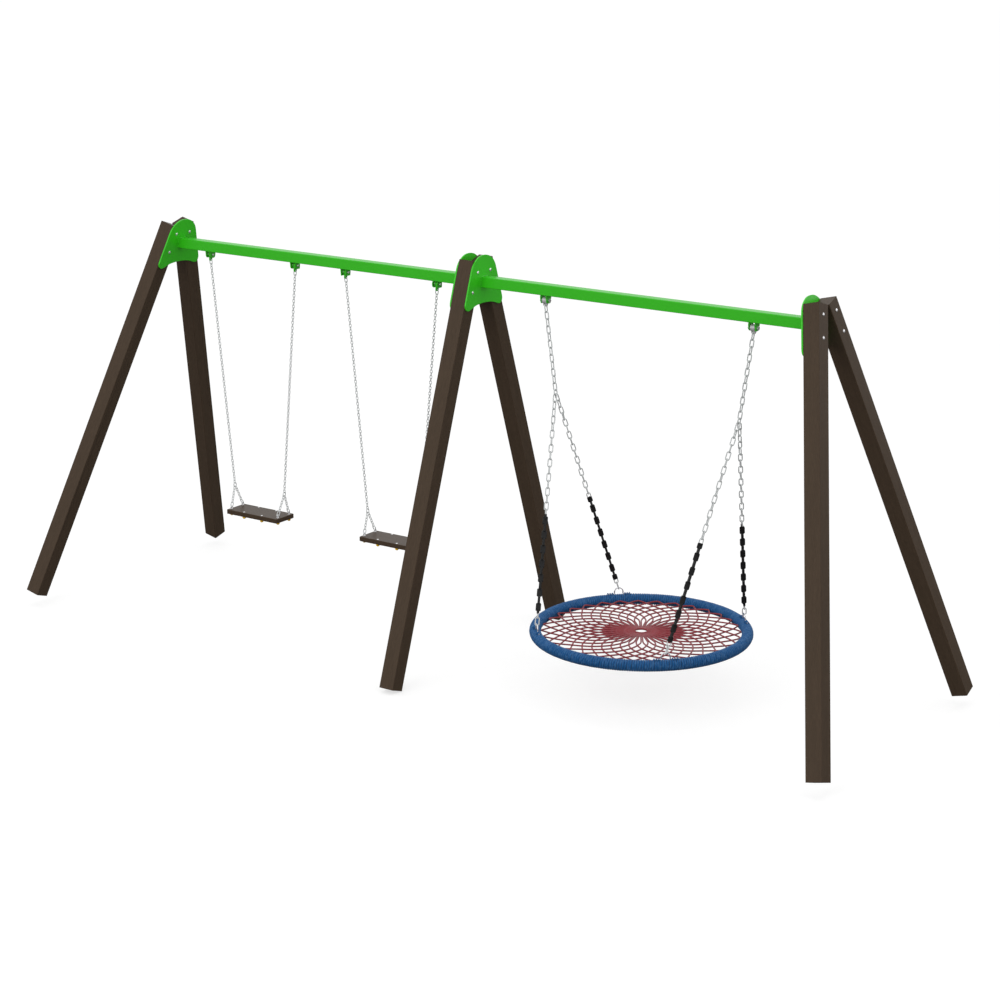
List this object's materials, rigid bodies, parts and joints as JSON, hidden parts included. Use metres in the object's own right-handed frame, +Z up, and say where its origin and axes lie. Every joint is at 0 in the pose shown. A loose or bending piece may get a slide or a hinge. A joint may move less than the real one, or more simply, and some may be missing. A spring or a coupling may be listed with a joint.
{
  "type": "swing set",
  "caption": "Playground swing set: three leaning A-frames carry two beams with flat plank swings on chains and a round rope-net nest swing.",
  "frame": {"origin": "bottom centre of the bounding box, under the middle frame's lowest foot corners", "axes": "+X along the beams from the flat swings towards the nest swing, +Y from front to back, +Z up"},
  "size_m": [5.3512, 1.6794, 2.2543],
  "materials": {
    "post": "matt dark brown recycled-plastic or stained post, fine grain",
    "plank": "matt dark brown plank",
    "green": "bright green powder coat, semi-gloss",
    "zinc": "bright zinc, smooth",
    "chain": "galvanised chain",
    "grip": "black moulded rubber",
    "nylon": "nylon bush",
    "cap": "yellow plastic cap",
    "rim": "galvanised tube, hidden under rope",
    "blue_rope": "blue polypropylene rope",
    "red_rope": "red polypropylene rope"
  },
  "bodies": {
    "frame": {"post_left_front": "post", "post_left_back": "post", "post_middle_front": "post", "post_middle_back": "post", "post_right_front": "post", "post_right_back": "post", "plate_left": "green", "plate_middle_left": "green", "plate_middle_right": "green", "plate_right": "green", "beam_flat_bay": "green", "beam_nest_bay": "green", "frame_bolts_left": "zinc", "frame_nuts_left": "zinc", "frame_bolts_middle": "zinc", "frame_nuts_middle": "zinc", "frame_bolts_right": "zinc", "frame_nuts_right": "zinc", "hanger_ears_1": "green", "hanger_bolts_1": "zinc", "hanger_nuts_1": "zinc", "hanger_ears_2": "green", "hanger_bolts_2": "zinc", "hanger_nuts_2": "zinc", "hanger_ears_nest": "green", "hanger_bolts_nest": "zinc", "hanger_nuts_nest": "zinc"},
    "swing_1": {"hanger_lugs_1": "green", "hanger_bushes_1": "nylon", "upper_chains_1": "chain"},
    "seat_1": {"lower_chains_1": "chain", "seat_1": "plank", "seat_eye_bolts_1": "zinc", "seat_bolts_1": "zinc", "seat_nuts_1": "zinc", "seat_caps_1": "cap"},
    "swing_2": {"hanger_lugs_2": "green", "hanger_bushes_2": "nylon", "upper_chains_2": "chain"},
    "seat_2": {"lower_chains_2": "chain", "seat_2": "plank", "seat_eye_bolts_2": "zinc", "seat_bolts_2": "zinc", "seat_nuts_2": "zinc", "seat_caps_2": "cap"},
    "nest_hanger": {"hanger_bearings_nest": "zinc", "hanger_bushes_nest": "nylon", "upper_chains_nest": "chain"},
    "nest": {"lower_chains_nest": "chain", "chain_grips_nest": "grip", "rim_bows_nest": "zinc", "rim_tube_nest": "rim", "rope_wrap_nest": "blue_rope", "net_nest": "red_rope", "net_hub_nest": "red_rope"}
  },
  "joints": [
    {"name": "swing_1_pivot", "type": "hinge", "parent": "frame", "child": "swing_1", "pos_m": [-1.546, 0, 2.06435], "axis": [1, 0, 0], "range_deg": [-60, 60]},
    {"name": "seat_1_rock", "type": "hinge", "parent": "swing_1", "child": "seat_1", "pos_m": [-1.546, 0, 0.69733], "axis": [1, 0, 0], "range_deg": [-12, 12]},
    {"name": "swing_2_pivot", "type": "hinge", "parent": "frame", "child": "swing_2", "pos_m": [-0.5455, 0, 2.06435], "axis": [1, 0, 0], "range_deg": [-60, 60]},
    {"name": "seat_2_rock", "type": "hinge", "parent": "swing_2", "child": "seat_2", "pos_m": [-0.5455, 0, 0.69733], "axis": [1, 0, 0], "range_deg": [-12, 12]},
    {"name": "nest_pivot", "type": "hinge", "parent": "frame", "child": "nest_hanger", "pos_m": [1.1165, 0, 2.05435], "axis": [1, 0, 0], "range_deg": [-45, 45]},
    {"name": "nest_rock", "type": "hinge", "parent": "nest_hanger", "child": "nest", "pos_m": [1.1165, 0, 1.55947], "axis": [1, 0, 0], "range_deg": [-10, 10]}
  ]
}
